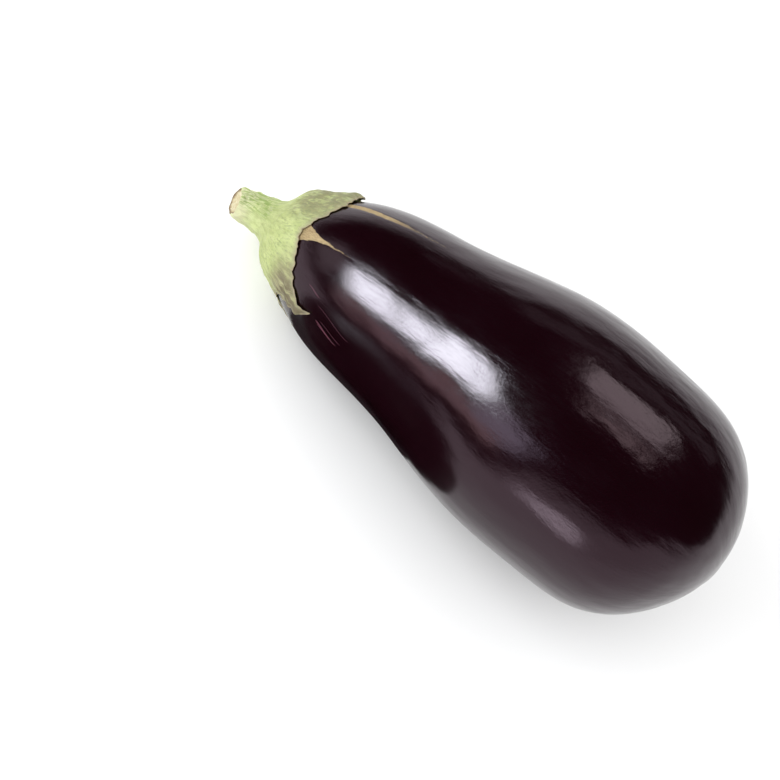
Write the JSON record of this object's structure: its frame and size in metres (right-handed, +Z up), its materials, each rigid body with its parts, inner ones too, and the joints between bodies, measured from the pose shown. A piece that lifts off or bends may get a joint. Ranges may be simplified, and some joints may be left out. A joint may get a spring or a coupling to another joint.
{
  "type": "eggplant",
  "caption": "Whole dark-skinned eggplant lying on its side, with its pointed-lobed green calyx and a short cut stem.",
  "frame": {"origin": "under the middle of the whole object's box, on the surface that it lies on", "axes": "+Z up; +X along the fruit from the stem towards the blossom end; +Y across it"},
  "size_m": [0.2146, 0.092, 0.0942],
  "materials": {
    "skin": "waxy gloss",
    "calyx": "leathery, wrinkled",
    "stem": "matt, faintly ribbed"
  },
  "bodies": {
    "root": {"fruit": "skin", "calyx": "calyx", "stem": "stem"}
  },
  "joints": []
}
